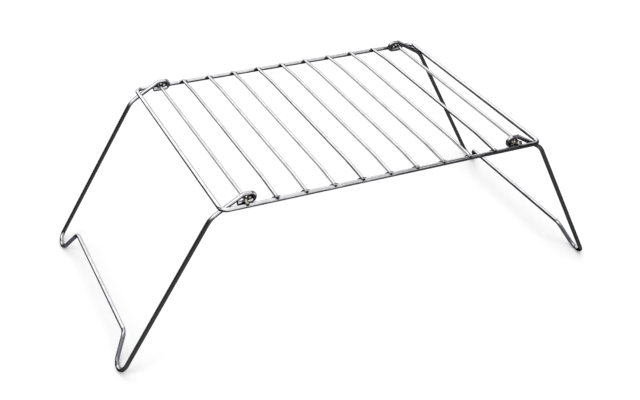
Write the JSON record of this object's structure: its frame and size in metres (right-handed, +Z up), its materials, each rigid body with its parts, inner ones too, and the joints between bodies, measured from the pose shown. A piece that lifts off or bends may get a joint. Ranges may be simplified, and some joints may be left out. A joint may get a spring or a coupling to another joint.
{
  "type": "folding camp grill",
  "caption": "Low camp grill of bright steel wire: a rectangular grate with cross bars on two wide wire legs that turn on its end bars and fold flat beneath it.",
  "frame": {"origin": "on the floor under the middle of the grate, at the height of the feet's worn flats", "axes": "+X along the grate, square to its cross bars; +Y along the cross bars; +Z up, square to the grate"},
  "size_m": [0.4766, 0.2248, 0.1573],
  "materials": {
    "frame_steel": "bright plated steel wire",
    "bar_steel": "bright plated steel wire",
    "leg_steel": "bright plated steel wire"
  },
  "bodies": {
    "grate": {"frame_wire": "frame_steel", "hinge_bar_left": "bar_steel", "cross_bar_01": "bar_steel", "cross_bar_02": "bar_steel", "cross_bar_03": "bar_steel", "cross_bar_04": "bar_steel", "cross_bar_05": "bar_steel", "cross_bar_06": "bar_steel", "cross_bar_07": "bar_steel", "cross_bar_08": "bar_steel", "cross_bar_09": "bar_steel", "hinge_bar_right": "bar_steel"},
    "left_leg_body": {"left_leg": "leg_steel"},
    "right_leg_body": {"right_leg": "leg_steel"}
  },
  "joints": [
    {"name": "left_leg_fold", "type": "hinge", "parent": "grate", "child": "left_leg_body", "pos_m": [-0.1285, 0, 0.1517], "axis": [0, -1, 0], "range_deg": [0, 124]},
    {"name": "right_leg_fold", "type": "hinge", "parent": "grate", "child": "right_leg_body", "pos_m": [0.1285, 0, 0.1517], "axis": [0, 1, 0], "range_deg": [0, 120]}
  ]
}
